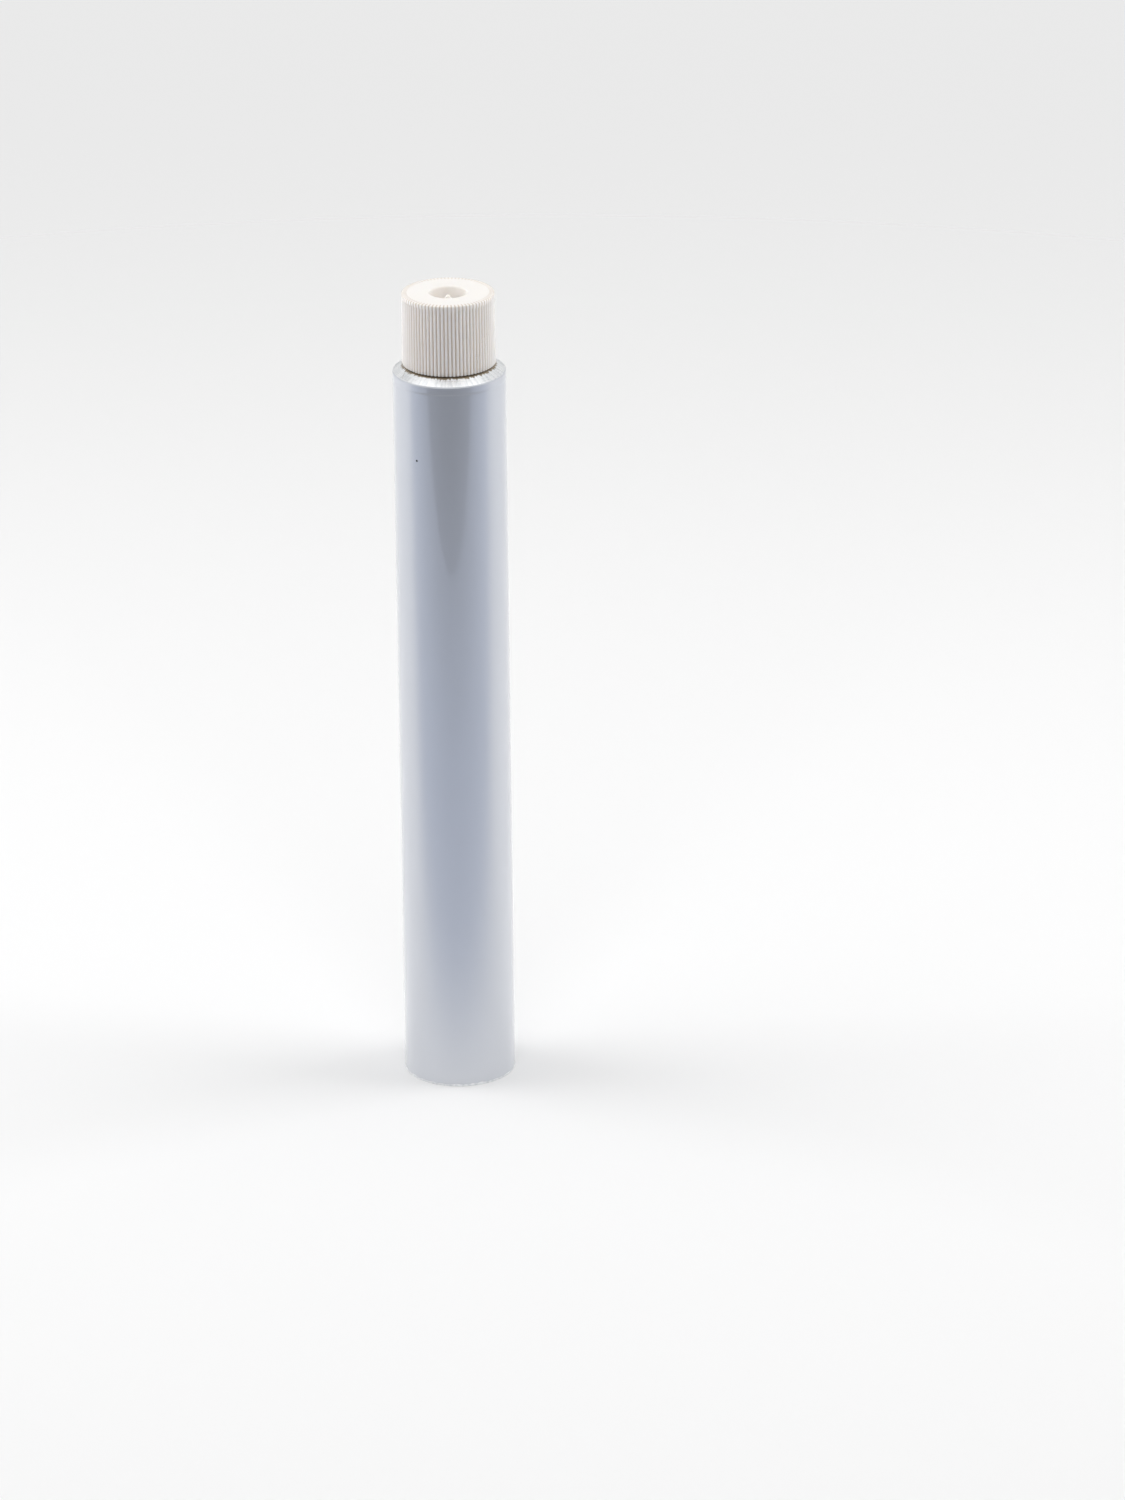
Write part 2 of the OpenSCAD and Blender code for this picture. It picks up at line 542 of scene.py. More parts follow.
@dataclass(frozen=True)
class BareMetal(Finish):
    """Soft aluminium with the fine rings of the trimming tool, and painted shade under the cap's foot and in
    the crease.

    Attributes:
        bright: Colour of the clean metal.
        grey: Colour of the duller streaks.
        painted_shade: Colour of the ring of painted shade under the cap's foot, which the crease takes too.
        shade_r: The painted shade ring's outer radius, in millimetres.
        shade_in: Its inner radius.
        shade_teeth: How far the painted shade's edges wander along the streaks, in millimetres.
        crease_at: Angle in radians and radius in millimetres of the crease's middle.
        crease_slant: How far it runs sideways for its run outwards.
        crease_wide: Half its width, in millimetres.
        crease_long: Its run outwards.
        crease_deep: Its depth.
        crease_shade: How much of the painted shade's colour the crease takes, as painted shade in it.
        ring_pitch: Distance between the tool's rings, in millimetres.
        ring_deep: Their depth.
        streak_deep: Depth of the streaks.
        smooth: Least roughness.
        rough: Greatest roughness.
    """

    bright: tuple[float, ...] = (0.91, 0.92, 0.93, 1.0)
    grey: tuple[float, ...] = (0.74, 0.76, 0.78, 1.0)
    # Painted shade: dark brown for the ring under the cap's foot and for the crease.
    painted_shade: tuple[float, ...] = (0.300, 0.245, 0.175, 1.0)
    shade_r: float = 12.5
    shade_in: float = 11.4
    shade_teeth: float = 2.4
    crease_at: tuple[float, float] = (-2.62, 13.7)
    crease_slant: float = 0.9
    crease_wide: float = 0.16
    crease_long: float = 1.3
    crease_deep: float = 0.03
    crease_shade: float = 0.6
    ring_pitch: float = 0.11
    ring_deep: float = 0.003
    streak_deep: float = 0.03
    smooth: float = 0.24
    rough: float = 0.36

    def paint(self, graph: Graph, shader: bpy.types.Node, point: bpy.types.NodeSocket) -> None:
        """Feeds the shader with tool rings, streaks, a ring of painted shade under the cap's foot, and the
        crease with painted shade in it.

        Args:
            graph: The material's graph.
            shader: The shader to feed.
            point: The point in the piece's own frame, in metres.
        """
        place = RoundPlace().place(graph, {"Point": point})
        along = graph.maths("ADD", place["Radius"], place["Height"])
        sides = graph.add("CombineXYZ", {0: graph.maths("DIVIDE", along, self.ring_pitch), 1: place["Turn"]})
        rings = graph.add("TexNoise", {"Vector": sides.outputs[0], "Scale": 1.0, "Detail": 2.0})
        around = graph.add("CombineXYZ", {0: graph.maths("MULTIPLY", place["Turn"], 22.0), 1: along})
        streaks = graph.add("TexNoise", {"Vector": around.outputs[0], "Scale": 0.8, "Detail": 3.0})
        worn = Grain().place(graph, {"Point": point, "Size": 0.35, "Depth": 0.002, "Stretch": (1, 1, 1)})
        tone = graph.spread(streaks.outputs[0], 0.35, 0.7, 0.0, 1.0)
        # Painted shade: a ragged dark brown ring where the cap's foot overhangs the shoulder, and the same
        # colour in the crease.
        teeth = graph.maths("MULTIPLY", graph.maths("SUBTRACT", streaks.outputs[0], 0.5), self.shade_teeth)
        edge = graph.maths("SUBTRACT", place["Radius"], teeth)
        outer = graph.spread(edge, self.shade_r - 0.1, self.shade_r + 0.2, 1.0, 0.0)
        inner = graph.spread(edge, self.shade_in - 0.3, self.shade_in + 0.3, 0.0, 1.0)
        crease = self.crease(graph, place)
        creased = graph.maths("MULTIPLY", crease, self.crease_shade)
        colour = graph.blend(creased, graph.blend(tone, self.bright, self.grey), self.painted_shade)
        ringed = graph.blend(graph.maths("MULTIPLY", outer, inner), colour, self.painted_shade)
        graph.feed(shader.inputs["Base Color"], ringed)
        gloss = graph.spread(rings.outputs[0], 0.25, 0.75, self.smooth, self.rough)
        graph.feed(shader.inputs["Roughness"], gloss)
        shader.inputs["Metallic"].default_value = 1.0
        turned = graph.maths("MULTIPLY", graph.maths("SUBTRACT", rings.outputs[0], 0.5), self.ring_deep)
        pulled = graph.maths("MULTIPLY", graph.maths("SUBTRACT", streaks.outputs[0], 0.5), self.streak_deep)
        dented = graph.maths("MULTIPLY", crease, -self.crease_deep)
        relief = graph.maths("ADD", graph.maths("ADD", turned, pulled), dented)
        self.emboss(graph, shader, graph.maths("ADD", relief, worn["Height"]))

    def crease(self, graph: Graph, place: bpy.types.NodeOutputs) -> bpy.types.NodeSocket:
        """Draws the short slanting crease on the shoulder.

        Args:
            graph: The material's graph.
            place: Turn, radius and height of the point.

        Returns:
            A mask that is 1 on the crease.
        """
        angle, radius = self.crease_at
        out = graph.maths("SUBTRACT", place["Radius"], radius)
        across = graph.maths("MULTIPLY", graph.maths("SUBTRACT", place["Turn"], angle), radius)
        middle = graph.maths("MULTIPLY", out, self.crease_slant)
        aside = graph.maths("ABSOLUTE", graph.maths("SUBTRACT", across, middle))
        line = graph.spread(aside, 0.0, self.crease_wide, 1.0, 0.0)
        half = self.crease_long / 2
        ends = graph.spread(graph.maths("ABSOLUTE", out), half, half + 0.2, 1.0, 0.0)
        return graph.maths("MULTIPLY", line, ends)


@dataclass(frozen=True)
class Lining(Finish):
    """Clear lacquer over the metal inside the tube.

    Attributes:
        light: Colour where the lacquer is thin.
        dark: Colour where it is thick.
        metal: Share of the metal that shows through.
    """

    light: tuple[float, ...] = (0.50, 0.50, 0.51, 1.0)
    dark: tuple[float, ...] = (0.38, 0.38, 0.40, 1.0)
    metal: float = 0.9

    def paint(self, graph: Graph, shader: bpy.types.Node, point: bpy.types.NodeSocket) -> None:
        """Feeds the shader with long draw marks and uneven lacquer.

        Args:
            graph: The material's graph.
            shader: The shader to feed.
            point: The point in the piece's own frame, in metres.
        """
        drawn = Grain().place(graph, {"Point": point, "Size": 0.8, "Depth": 0.004, "Stretch": (1, 1, 0.05)})
        coat = graph.blend(graph.spread(drawn["Patch"], 0.3, 0.7, 0.0, 1.0), self.light, self.dark)
        graph.feed(shader.inputs["Base Color"], coat)
        graph.feed(shader.inputs["Roughness"], graph.spread(drawn["Patch"], 0.3, 0.7, 0.30, 0.42))
        shader.inputs["Metallic"].default_value = self.metal
        self.emboss(graph, shader, drawn["Height"])


@dataclass(frozen=True)
class SealCompound(Finish):
    """Dried amber latex, brushed on thick and thin.

    Attributes:
        thick: Colour of the thick streaks.
        thin: Colour of the thin ones.
        streak_deep: Depth of the streaks, in millimetres.
    """

    thick: tuple[float, ...] = (0.115, 0.080, 0.016, 1.0)
    thin: tuple[float, ...] = (0.330, 0.255, 0.075, 1.0)
    streak_deep: float = 0.02

    def paint(self, graph: Graph, shader: bpy.types.Node, point: bpy.types.NodeSocket) -> None:
        """Feeds the shader with upright streaks and a tacky, wrinkled skin.

        Args:
            graph: The material's graph.
            shader: The shader to feed.
            point: The point in the piece's own frame, in metres.
        """
        inputs = {"Point": point, "Size": 0.7, "Depth": self.streak_deep, "Stretch": (1, 1, 0.22)}
        streaks = Grain().place(graph, inputs)
        skin = Grain().place(graph, {"Point": point, "Size": 0.18, "Depth": 0.006, "Stretch": (1, 1, 1)})
        lift = graph.maths("MULTIPLY", streaks["Height"], 1 / self.streak_deep)
        share = graph.spread(lift, -0.18, 0.2, 0.0, 1.0)
        graph.feed(shader.inputs["Base Color"], graph.blend(share, self.thick, self.thin))
        graph.feed(shader.inputs["Roughness"], graph.spread(share, 0.0, 1.0, 0.34, 0.52))
        self.emboss(graph, shader, graph.maths("ADD", streaks["Height"], skin["Height"]))


@dataclass(frozen=True)
class CapPlastic(Finish):
    """Warm white moulded plastic with a fine satin grain, and painted shade between the ribs.

    Attributes:
        ribs: Number of grooves round the cap.
        skirt_r: Radius within which the painted shade between the ribs stops, in millimetres.
        crest: Colour of the outer faces.
        groove_shade_and_dust: Painted shade between the ribs, darker and warmer than the crests, and the
            colour that dust specks take.
        soak: Share of the light that soaks in.
        soak_tint: How far each colour soaks, as a share of the depth.
        soak_deep: How deep light soaks, in millimetres.
    """

    ribs: int
    skirt_r: float
    crest: tuple[float, ...] = (0.965, 0.920, 0.880, 1.0)
    # Painted shade between the ribs; dust specks take this colour too.
    groove_shade_and_dust: tuple[float, ...] = (0.660, 0.555, 0.460, 1.0)
    soak: float = 0.35
    soak_tint: tuple[float, ...] = (1.0, 0.92, 0.80)
    soak_deep: float = 0.7

    def paint(self, graph: Graph, shader: bpy.types.Node, point: bpy.types.NodeSocket) -> None:
        """Feeds the shader with grain, painted shade in the grooves and a few specks.

        Args:
            graph: The material's graph.
            shader: The shader to feed.
            point: The point in the piece's own frame, in metres.
        """
        place = RoundPlace().place(graph, {"Point": point})
        grain = Grain().place(graph, {"Point": point, "Size": 0.12, "Depth": 0.006, "Stretch": (1, 1, 1)})
        dust = Dust().place(graph, {"Point": point, "Spacing": 5.0, "Size": 0.06})
        # Painted shade: the grooves between the ribs take a darker, warmer colour.
        wave = graph.maths("COSINE", graph.maths("MULTIPLY", place["Turn"], float(self.ribs)))
        groove = graph.spread(wave, 0.0, 1.0, 0.0, 1.0)
        outside = graph.maths("GREATER_THAN", place["Radius"], self.skirt_r)
        tint = graph.maths("MULTIPLY", groove, outside)
        colour = graph.blend(tint, self.crest, self.groove_shade_and_dust)
        dusty = graph.blend(graph.maths("MULTIPLY", dust["Speck"], 0.3), colour, self.groove_shade_and_dust)
        graph.feed(shader.inputs["Base Color"], dusty)
        graph.feed(shader.inputs["Roughness"], graph.spread(grain["Patch"], 0.3, 0.7, 0.36, 0.46))
        shader.inputs["Subsurface Weight"].default_value = self.soak
        shader.inputs["Subsurface Radius"].default_value = self.soak_tint
        shader.inputs["Subsurface Scale"].default_value = self.soak_deep * MM
        self.emboss(graph, shader, grain["Height"])


@dataclass(frozen=True)
class CapInsidePaintedShade(CapPlastic):
    """The same plastic inside the cap, made darker and warmer with painted shade."""

    # Painted shade: dark brown in place of the cap's white.
    crest: tuple[float, ...] = (0.520, 0.425, 0.290, 1.0)


@dataclass(frozen=True)
class CapRecessPaintedLight(CapPlastic):
    """The same plastic in the recess, made paler than the outside with painted light, a painted glow on its
    walls.
    """

    # Painted light: paler than the plastic outside.
    crest: tuple[float, ...] = (0.985, 0.970, 0.950, 1.0)


@dataclass
class NeckThread:
    """The screw thread that neck and cap share, in millimetres.

    Attributes:
        crest_r: Radius over the thread.
        low: Height where the ridge starts.
        high: Height where it ends.
        depth: Height of the thread's ridge.
        pitch: Rise in a full turn.
        fade: Height over which the ridge rises and runs out.
        gap: Clearance between the neck's thread and the cap's.
    """

    crest_r: float
    low: float
    high: float
    depth: float = 0.42
    pitch: float = 1.25
    fade: float = 0.5
    gap: float = 0.1

    @property
    def root_r(self) -> float:
        """Radius between the ridges."""
        return self.crest_r - self.depth

    def radius(self, angle: float, height: float) -> float:
        """Works out the neck's outside.

        Args:
            angle: Angle round the axis, in radians.
            height: Height, in millimetres.

        Returns:
            The radius there, in millimetres.
        """
        phase = (height / self.pitch - angle / TURN) % 1.0
        ridge = ease((0.36 - abs(phase - 0.5)) / 0.22)
        ends = ease((height - self.low) / self.fade) * ease((self.high - height) / self.fade)
        return self.root_r + self.depth * ridge * ends

    def socket_radius(self, angle: float, height: float) -> float:
        """Returns the cap's radius there, a clearance away from the neck."""
        return self.radius(angle, height) + self.gap


class TubeZone(Enum):
    """The finishes on the tube."""

    ENAMEL = 0
    METAL = 1
    LINING = 2


class CapZone(Enum):
    """The finishes on the cap."""

    OUTSIDE = 0
    INSIDE = 1
    RECESS = 2


@dataclass
class TubeShell:
    """The aluminium tube, in millimetres.

    Attributes:
        body_r: Outside radius of the body.
        bore_r: Inside radius.
        rim_z: Height of the corner below the shoulder.
        top_z: Height of the neck's top.
        thread: The neck's thread.
        slope: Angle of the shoulder.
        rim_r: Radius of the corner below the shoulder.
        shoulder_t: Thickness of the shoulder.
        root_round: Radius of the fillet at the neck's root.
        neck_t: Thickness of the neck's wall.
        membrane_t: Thickness of the membrane.
        sunk: How far the membrane lies below the neck's top.
        dimple_r: Radius of the membrane's flat middle.
        bevel: Width of the bevel round the neck's top.
        strip_h: Height of the bare strip below the enamel.
        strip_wander: How far the enamel's lower edge wanders.
        edge_round: Radius of the worn cut edge.
        taper_h: Height of the small step below the rim.
        taper_drop: Depth of the step's foot below the rim.
        taper: How far the wall steps in.
        waver: Depth of the wall's broad waves.
        dent: Depth of its smaller ones.
        count: Number of points round each ring.
        wall_levels: Number of strips up the wall.
        thread_levels: Number of strips up the thread.
    """

    body_r: float
    bore_r: float
    rim_z: float
    top_z: float
    thread: NeckThread
    slope: float
    rim_r: float = 0.7
    shoulder_t: float = 0.5
    root_round: float = 0.5
    neck_t: float = 0.8
    membrane_t: float = 0.15
    sunk: float = 0.1
    dimple_r: float = 1.2
    bevel: float = 0.3
    strip_h: float = 0.62
    strip_wander: float = 0.3
    edge_round: float = 0.03
    taper_h: float = 0.5
    taper_drop: float = 2.3
    taper: float = 0.055
    waver: float = 0.035
    dent: float = 0.04
    count: int = 192
    wall_levels: int = 56
    thread_levels: int = 64

    @property
    def taper_z(self) -> float:
        """Height at which the wall starts to step in below the rim."""
        return self.rim_z - self.taper_drop

    def shoulder_z(self, radius: float) -> float:
        """Returns the height of the shoulder's outside at a radius."""
        return self.rim_z + (self.body_r - radius) * math.tan(self.slope)

    def wavy(self, radius: float, height: float) -> Place:
        """Gives a wall ring the slight waves of thin drawn metal.

        Args:
            radius: The wall's radius, which the ring never passes.
            height: The ring's height.

        Returns:
            The ring's place.
        """
        calm = ease(min(height, self.rim_z - height) / 12)
        narrow = self.taper * ease((height - self.taper_z) / self.taper_h)

        def place(angle: float) -> tuple[float, float]:
            """Returns radius and height at an angle."""
            broad = 0.5 + 0.5 * ripple(angle, height, 0.9, 0.02, 3.0)
            dents = 0.5 + 0.5 * ripple(angle, height, 2.4, 0.02, 15.0)
            waves = calm * (self.waver * max(broad, 0.0) + self.dent * max(dents, 0.0))
            return radius - narrow - waves, height

        return place

    def uneven(self, radius: float, height: float, by: float, seed: float) -> Place:
        """Returns a ring whose height wanders, as a rolled coat's edge does."""
        return lambda angle: (radius, height + by * ripple(angle, 0.0, 9.0, 0.0, seed))

    def outside(self) -> list[Ring]:
        """Lists the rings from the cut edge up to the neck's root.

        Returns:
            The rings, in order.
        """
        metal, enamel = TubeZone.METAL.value, TubeZone.ENAMEL.value
        rings = [
            level(self.count, self.body_r - self.edge_round, 0.0, metal),
            level(self.count, self.body_r, self.edge_round, metal),
            Ring(self.count, self.uneven(self.body_r, self.strip_h, self.strip_wander, 5.0), enamel),
        ]
        foot = self.strip_h + 0.4
        rim = arc((self.body_r, self.rim_z), (self.body_r, 0.0), (0.0, self.shoulder_z(0.0)), self.rim_r, 8)
        head = rim[0][1]
        heights = [mix(foot, self.taper_z - 0.3, i / self.wall_levels) for i in range(self.wall_levels + 1)]
        heights += [self.taper_z + self.taper_h * share for share in (0.0, 0.25, 0.5, 0.75, 1.0)]
        heights += [mix(self.taper_z + self.taper_h, head, share) for share in (0.2, 0.6)]
        rings += [Ring(self.count, self.wavy(self.body_r, z), enamel) for z in heights]
        for i, (radius, height) in enumerate(rim):
            zone = enamel if i < 7 else metal
            inset = self.taper * (1 - i / (len(rim) - 1))
            rings.append(level(self.count, radius - inset, height, zone))
        root = (self.thread.root_r, self.shoulder_z(self.thread.root_r))
        fillet = arc(root, rim[-1], (self.thread.root_r, self.top_z), self.root_round, 5)
        last = rim[-1]
        for i in range(1, 10):
            share = i / 10
            radius = mix(last[0], fillet[0][0], share)
            rings.append(level(self.count, radius, mix(last[1], fillet[0][1], share), metal))
        rings += [level(self.count, radius, height, metal) for radius, height in fillet]
        return rings

    def neck(self) -> list[Ring]:
        """Lists the rings of the thread, the bevel and the membrane's top.

        Returns:
            The rings, in order.
        """
        metal = TubeZone.METAL.value
        rings = []
        for i in range(self.thread_levels + 1):
            height = mix(self.thread.low, self.thread.high, i / self.thread_levels)
            rings.append(Ring(self.count, lambda angle, z=height: (self.thread.radius(angle, z), z), metal))
        lip = self.thread.root_r
        rings += [
            level(self.count, lip, self.top_z - self.bevel, metal),
            level(self.count, lip - self.bevel * 0.5, self.top_z - self.bevel * 0.15, metal),
            level(self.count, lip - self.bevel, self.top_z, metal),
            level(self.count, lip - self.bevel - 0.25, self.top_z, metal),
            level(self.count, lip - self.bevel - 0.4, self.top_z - 0.08, metal),
            level(self.count, self.dimple_r, self.top_z - self.sunk, metal),
            level(1, 0.0, self.top_z - self.sunk, metal),
        ]
        return rings

    def inside(self) -> list[Ring]:
        """Lists the rings from the membrane's underside down to the cut edge.

        Returns:
            The rings, in order.
        """
        lining = TubeZone.LINING.value
        drop = self.shoulder_t / math.cos(self.slope)
        passage = self.thread.crest_r - self.neck_t
        under = self.top_z - self.sunk - self.membrane_t
        rings = [
            level(1, 0.0, under, lining),
            level(self.count, self.dimple_r, under, lining),
            level(self.count, passage - 0.2, under, lining),
            level(self.count, passage, under - 0.2, lining),
            level(self.count, passage, self.shoulder_z(passage) - drop, lining),
        ]
        corner = (self.bore_r, self.shoulder_z(self.bore_r) - drop)
        inner = (passage, self.shoulder_z(passage) - drop)
        for radius, height in arc(corner, inner, (self.bore_r, 0.0), self.root_round, 5):
            rings.append(level(self.count, radius - self.taper, height, lining))
        for i in range(self.wall_levels + 1):
            height = mix(self.taper_z, self.strip_h + 0.4, i / self.wall_levels)
            rings.append(Ring(self.count, self.wavy(self.bore_r, height), lining))
        rings += [
            level(self.count, self.bore_r, self.edge_round, TubeZone.METAL.value),
            level(self.count, self.bore_r + self.edge_round, 0.0, TubeZone.METAL.value),
        ]
        return rings

    def build(self) -> bpy.types.Object:
        """Makes the tube and dresses it.

        Returns:
            The finished piece, riding on its body.
        """
        piece = TurnedSkin(self.outside() + self.neck() + self.inside()).build("tube_shell")
        for finish in (Enamel(), BareMetal(), Lining()):
            piece.data.materials.append(finish.material())
        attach(piece, "tube")
        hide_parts("tube")
        return piece


@dataclass
class SealBand:
    """The band of sealing compound inside the open end, in millimetres.

    Attributes:
        outer_r: Radius against the wall.
        inner_r: Least radius, on the thickest streaks.
        low: Height of the lower edge.
        high: Greatest height of the upper edge.
        drip: How far the upper edge wanders.
        rise: How far the lower edge wanders.
        count: Number of points round each ring.
        levels: Number of strips up the band.
    """

    outer_r: float
    inner_r: float
    low: float
    high: float
    drip: float = 1.1
    rise: float = 0.15
    count: int = 384
    levels: int = 12

    def upper(self, angle: float) -> float:
        """Works out the ragged upper edge.

        Args:
            angle: Angle round the axis, in radians.

        Returns:
            The height, in millimetres.
        """
        broad = 0.5 + 0.5 * ripple(angle, 0.0, 2.5, 0.0, 11.0)
        fine = 0.5 + 0.5 * ripple(angle, 0.0, 16.0, 0.0, 23.0)
        return self.high - self.drip * (0.6 * broad + 0.4 * fine)

    def lower(self, angle: float) -> float:
        """Returns the lower edge's height at an angle."""
        return self.low + self.rise * (0.5 + 0.5 * ripple(angle, 0.0, 7.0, 0.0, 31.0))

    def build(self) -> bpy.types.Object:
        """Makes the band and dresses it.

        Returns:
            The finished piece, riding on its body.
        """
        deep = self.outer_r - self.inner_r

        def edge(top: bool) -> Place:
            """Returns the band's edge against the wall, upper or lower."""
            return lambda angle: (self.outer_r, self.upper(angle) if top else self.lower(angle))

        def face(share: float) -> Place:
            """Returns a ring of the band's inner face, a share of the way up."""
            swell = min(1.0, 6 * share, 6 * (1 - share))

            def place(angle: float) -> tuple[float, float]:
                """Returns radius and height at an angle."""
                height = mix(self.lower(angle), self.upper(angle), mix(0.02, 0.98, share))
                streak = 0.7 + 0.3 * ripple(angle, height, 20.0, 0.25, 41.0)
                return self.outer_r - deep * min(1.0, streak) * mix(0.35, 1.0, swell), height

            return place

        rings = [Ring(self.count, edge(False)), Ring(self.count, edge(True))]
        rings += [Ring(self.count, face(1 - i / self.levels)) for i in range(self.levels + 1)]
        piece = TurnedSkin(rings).build("seal_band")
        piece.data.materials.append(SealCompound().material())
        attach(piece, "tube")
        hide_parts("end_seal")
        return piece


@dataclass
class ScrewCap:
    """The moulded cap, in millimetres.

    Attributes:
        foot_r: Radius over the ribs at the foot.
        foot_z: Height of the foot's outer edge.
        top_z: Height of the top.
        slope: Angle of the foot's face, which follows the shoulder.
        seat_z: Height of the face that bears on the neck's top.
        thread: The thread that the socket fits.
        draft: Angle by which the side leans in.
        ribs: Number of grooves round the cap.
        per_rib: Number of points round each rib.
        rib_depth: Full depth of the grooves.
        skirt_t: Thickness of the skirt behind them.
        top_t: Thickness of the top.
        band_h: Height of the smooth band above the grooves.
        runout: Height over which the grooves run out.
        runout_over: How far they run into the band.
        shallow: Share of the full depth that they start with at the top.
        deepens: Drop over which they reach the full depth.
        side_levels: Number of strips up the ribs, and over their run-out.
        edge_r: Radius of the top edge.
        lip_r: Radius of the lip round the recess.
        recess_r: Radius of the recess.
        recess_depth: Its depth.
        hub_r: Radius of the hub.
        socket_r: Radius of the socket in it.
        socket_levels: Number of strips up the socket.
        inner_count: Number of points round the smooth rings.
        spike_w: Width of the spike.
        spike_t: Its thickness.
        point_h: Height of its pointed part.
        tip_w: Width of its blunt tip.
        tip_drop: Depth of the tip below the top.
        spike_edge: Width of its eased edges.
    """

    foot_r: float
    foot_z: float
    top_z: float
    slope: float
    seat_z: float
    thread: NeckThread
    draft: float = math.radians(0.45)
    ribs: int = 76
    per_rib: int = 12
    rib_depth: float = 0.42
    skirt_t: float = 1.1
    top_t: float = 1.5
    band_h: float = 0.75
    runout: float = 1.1
    runout_over: float = 0.1
    shallow: float = 0.82
    deepens: float = 14.0
    side_levels: int = 8
    edge_r: float = 0.35
    lip_r: float = 0.45
    recess_r: float = 4.9
    recess_depth: float = 7.0
    hub_r: float = 5.9
    socket_r: float = 4.6
    socket_levels: int = 48
    inner_count: int = 152
    spike_w: float = 4.0
    spike_t: float = 1.6
    point_h: float = 2.0
    tip_w: float = 0.7
    tip_drop: float = 1.0
    spike_edge: float = 0.12

    @property
    def runout_z(self) -> float:
        """Height at which the grooves have run out."""
        return self.top_z - self.band_h + self.runout_over

    def side_r(self, height: float) -> float:
        """Returns the radius over the ribs at a height."""
        return self.foot_r - (height - self.foot_z) * math.tan(self.draft)

    def groove(self, angle: float) -> float:
        """Returns the share of the full groove depth at an angle."""
        return 0.5 + 0.5 * math.cos(angle * self.ribs)

    def ribbed(self, height: float, inset: float = 0.0) -> Ring:
        """Places one ring of the ribbed side.

        Args:
            height: The ring's height.
            inset: How far it lies inside the side.

        Returns:
            The ring.
        """
        down = self.runout_z - height
        fill = ease(down / self.runout) * mix(self.shallow, 1.0, min(down / self.deepens, 1.0))
        radius = self.side_r(height) - inset

        def place(angle: float) -> tuple[float, float]:
            """Returns radius and height at an angle."""
            return radius - self.rib_depth * fill * self.groove(angle), height

        return Ring(self.ribs * self.per_rib, place)

    def side(self) -> list[Ring]:
        """Lists the rings from the foot up over the ribs and the band.

        Returns:
            The rings, in order.
        """
        start, stop = self.foot_z + 0.14, self.top_z - self.band_h - self.runout
        shares = [i / self.side_levels for i in range(1, self.side_levels + 1)]
        rings = [self.ribbed(self.foot_z, 0.14), self.ribbed(self.foot_z + 0.04, 0.04), self.ribbed(start)]
        rings += [self.ribbed(mix(start, stop, share)) for share in shares]
        rings += [self.ribbed(mix(stop, self.runout_z, share)) for share in shares]
        return rings

    def top(self) -> list[Ring]:
        """Lists the rings over the edge, across the top and down the recess.

        Returns:
            The rings, in order.
        """
        outer, recess = self.ribs * self.per_rib, CapZone.RECESS.value
        edge = (self.side_r(self.top_z), self.top_z)
        lip = (self.recess_r, self.top_z)
        floor = (self.recess_r - 0.06, self.top_z - self.recess_depth)
        rings = [level(outer, r, z) for r, z in arc(edge, (self.foot_r, self.foot_z), lip, self.edge_r, 6)]
        rings.append(level(outer, edge[0] - self.edge_r - 0.25, self.top_z))
        rings.append(level(self.inner_count, edge[0] - self.edge_r - 0.6, self.top_z))
        rings.append(level(self.inner_count, self.recess_r + self.lip_r + 0.3, self.top_z))
        rings += [level(self.inner_count, r, z, recess) for r, z in arc(lip, edge, floor, self.lip_r, 7)]
        rings += [level(self.inner_count, r, z, recess) for r, z in arc(floor, lip, (0.0, floor[1]), 0.35, 5)]
        rings.append(level(self.inner_count, 2.6, floor[1], recess))
        rings.append(level(1, 0.0, floor[1], CapZone.INSIDE.value))
        return rings

    def underside(self) -> list[Ring]:
        """Lists the rings from the seat down the socket, round the hub and down the skirt's inside.

        Returns:
            The rings, in order.
        """
        count, zone = self.inner_count, CapZone.INSIDE.value
        hub_foot = self.thread.low - 0.1
        rings = [level(1, 0.0, self.seat_z, zone), level(count, 2.0, self.seat_z, zone)]
        rings.append(level(count, self.socket_r - 0.2, self.seat_z, zone))
        for i in range(self.socket_levels + 1):
            height = mix(self.seat_z - 0.2, hub_foot + 0.35, i / self.socket_levels)
            rings.append(Ring(count, lambda angle, z=height: (self.thread.socket_radius(angle, z), z), zone))
        rings.append(level(count, self.socket_r + 0.15, hub_foot, zone))
        under = self.top_z - self.top_t
        inset = self.rib_depth + self.skirt_t
        wall_top = self.side_r(under) - inset
        wall_foot = self.foot_r - inset
        foot_in = self.foot_z + inset * math.tan(self.slope)
        hub = arc((self.hub_r, hub_foot), (self.socket_r, hub_foot), (self.hub_r, under), 0.25, 4)
        hub += arc((self.hub_r, under), (self.hub_r, hub_foot), (wall_top, under), 0.4, 4)
        wall = arc((wall_top, under), (self.hub_r, under), (wall_foot, foot_in), 0.5, 4)
        wall += [(mix(wall_top, wall_foot, share), mix(under, foot_in, share)) for share in (0.35, 0.7)]
        wall += arc((wall_foot, foot_in), (wall_top, under), (self.foot_r, self.foot_z), 0.2, 3)
        rings += [level(count, radius, height, zone) for radius, height in hub + wall]
        flat = 0.5
        rings.append(level(count, self.foot_r - flat, self.foot_z + flat * math.tan(self.slope), zone))
        return rings

